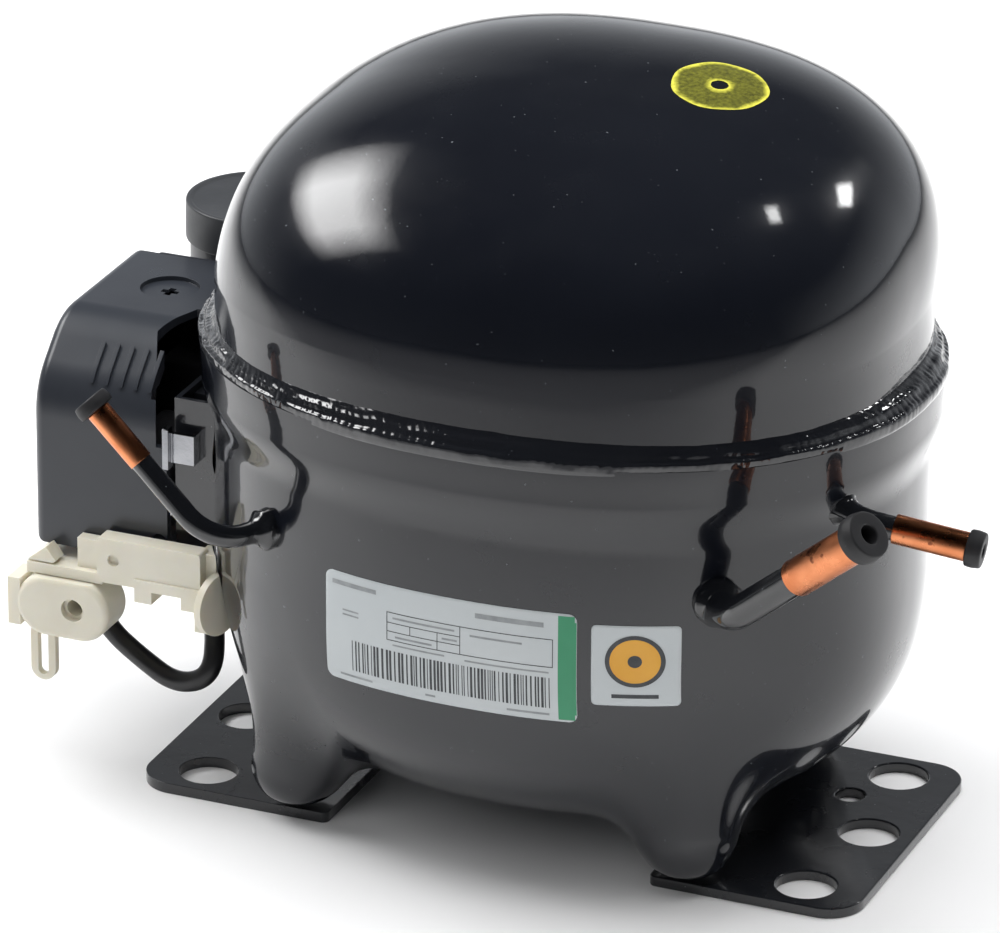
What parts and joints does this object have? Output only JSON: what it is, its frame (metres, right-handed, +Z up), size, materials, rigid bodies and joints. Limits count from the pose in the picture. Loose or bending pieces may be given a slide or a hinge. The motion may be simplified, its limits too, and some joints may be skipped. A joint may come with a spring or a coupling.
{
  "type": "hermetic reciprocating compressor",
  "caption": "Hermetic reciprocating refrigeration compressor: welded gloss-black shell on foot plates, plugged copper tube ends, grey terminal cover, start capacitor and sprung pump inside.",
  "frame": {"origin": "centre of the 170 x 70 mm foot-bolt rectangle, at the underside of the foot plates", "axes": "+Z up, +X towards the end with the suction and process tubes, -Y towards the labelled side"},
  "size_m": [0.2685, 0.1694, 0.2032],
  "materials": {
    "shell_paint": "gloss",
    "plate_paint": "gloss",
    "weld_paint": "gloss",
    "copper": "satin",
    "rubber_black": "matte",
    "label_white": "satin",
    "label_amber": "satin",
    "paint_yellow": "matte",
    "cover_grey": "satin",
    "can_black": "satin",
    "nylon_cream": "satin",
    "zinc_steel": "satin",
    "cable_black": "satin",
    "ceramic_body": "satin",
    "pin_steel": "polished",
    "relay_plastic": "matte",
    "laminations": "satin",
    "enamel_wire": "satin",
    "casting": "matte",
    "ground_steel": "polished",
    "alu_cast": "satin",
    "spring_steel": "satin",
    "muffler_plastic": "satin",
    "gasket_fibre": "matte",
    "bolt_steel": "satin"
  },
  "bodies": {
    "housing": {"lower_shell": "shell_paint", "upper_shell": "shell_paint", "weld_bead": "weld_paint", "base_plate_left": "plate_paint", "base_plate_right": "plate_paint", "discharge_tube": "shell_paint", "suction_tube": "shell_paint", "process_tube": "shell_paint", "discharge_connector": "copper", "suction_connector": "copper", "process_connector": "copper", "rating_label": "label_white", "marker_label": "label_amber", "paint_mark": "paint_yellow", "terminal_body": "ceramic_body", "terminal_pins": "pin_steel", "terminal_fence": "plate_paint", "earth_screw": "zinc_steel", "start_relay": "relay_plastic", "overload_protector": "relay_plastic", "cover_clip": "zinc_steel", "start_capacitor": "can_black", "capacitor_cap": "can_black", "capacitor_bracket": "plate_paint", "cord_anchor": "nylon_cream", "anchor_washer": "nylon_cream", "anchor_clamp": "nylon_cream", "lead_cable": "cable_black", "spring_seats_lower": "rubber_black", "suspension_springs": "spring_steel", "shock_loop": "zinc_steel", "lead_connector": "muffler_plastic"},
    "cover": {"box_cover": "cover_grey"},
    "plug_discharge": {"discharge_plug": "rubber_black"},
    "plug_suction": {"suction_plug": "rubber_black"},
    "plug_process": {"process_plug": "rubber_black"},
    "pump_block": {"stator_core": "laminations", "stator_windings": "enamel_wire", "stator_bolts": "bolt_steel", "spring_seats_upper": "rubber_black", "crankcase": "casting", "thrust_race_lower": "ground_steel", "valve_plate": "ground_steel", "head_gaskets": "gasket_fibre", "cylinder_head": "alu_cast", "head_bolts": "bolt_steel", "suction_muffler": "muffler_plastic", "discharge_muffler": "casting"},
    "ball_set": {"thrust_balls": "ground_steel"},
    "crank": {"crankshaft": "ground_steel", "rotor_core": "laminations", "rotor_end_rings": "alu_cast", "counterweight": "casting", "oil_pickup": "zinc_steel", "thrust_race_upper": "ground_steel"},
    "slider": {"slider_block": "ground_steel"},
    "yoke_link": {"crank_dowel": "ground_steel"},
    "piston": {"piston_yoke": "ground_steel"},
    "reed_suction": {"suction_reed": "spring_steel"},
    "reed_discharge": {"discharge_reed": "spring_steel"}
  },
  "joints": [
    {"name": "block_float", "type": "slide", "parent": "housing", "child": "pump_block", "axis": [0, 0, 1], "range_m": [-0.0015, 0.0015], "stiffness_N_per_m": 40000, "springref_m": 0.0013, "deforming": ["suspension_springs", "shock_loop"]},
    {"name": "crankshaft_spin", "type": "hinge", "parent": "pump_block", "child": "crank", "pos_m": [-0.004, 0, 0.1], "axis": [0, 0, 1], "continuous": true},
    {"name": "ball_orbit", "type": "hinge", "parent": "pump_block", "child": "ball_set", "pos_m": [-0.004, 0, 0.1145], "axis": [0, 0, 1], "continuous": true},
    {"name": "slider_turn", "type": "hinge", "parent": "crank", "child": "slider", "pos_m": [0.0058, 0, 0.136], "axis": [0, 0, 1], "continuous": true},
    {"name": "yoke_link_turn", "type": "hinge", "parent": "crank", "child": "yoke_link", "pos_m": [0.0009, 0, 0.1463], "axis": [0, 0, 1], "continuous": true},
    {"name": "piston_stroke", "type": "hinge", "parent": "yoke_link", "child": "piston", "pos_m": [0.0058, 0, 0.136], "axis": [0, 0, 1], "continuous": true},
    {"name": "suction_reed_lift", "type": "hinge", "parent": "pump_block", "child": "reed_suction", "pos_m": [0.0602, -0.006, 0.124], "axis": [0, 1, 0], "range_deg": [-1.2, 0]},
    {"name": "discharge_reed_lift", "type": "hinge", "parent": "pump_block", "child": "reed_discharge", "pos_m": [0.0644, 0.006, 0.124], "axis": [0, 1, 0], "range_deg": [0, 3]},
    {"name": "cover_pull", "type": "slide", "parent": "housing", "child": "cover", "axis": [-1, 0, 0], "range_m": [0, 0.045]},
    {"name": "discharge_plug_pull", "type": "slide", "parent": "housing", "child": "plug_discharge", "axis": [-0.7167, 0.0299, 0.6968], "range_m": [0, 0.012]},
    {"name": "suction_plug_pull", "type": "slide", "parent": "housing", "child": "plug_suction", "axis": [0.7337, -0.2342, 0.6379], "range_m": [0, 0.012]},
    {"name": "process_plug_pull", "type": "slide", "parent": "housing", "child": "plug_process", "axis": [0.9864, 0.1001, -0.1302], "range_m": [0, 0.012]}
  ],
  "couplings": [
    {"joint": "ball_orbit", "follows": "crankshaft_spin", "ratio": 0.5},
    {"joint": "slider_turn", "follows": "crankshaft_spin", "ratio": -1},
    {"joint": "yoke_link_turn", "follows": "crankshaft_spin", "ratio": -2},
    {"joint": "piston_stroke", "follows": "crankshaft_spin", "ratio": 1}
  ]
}
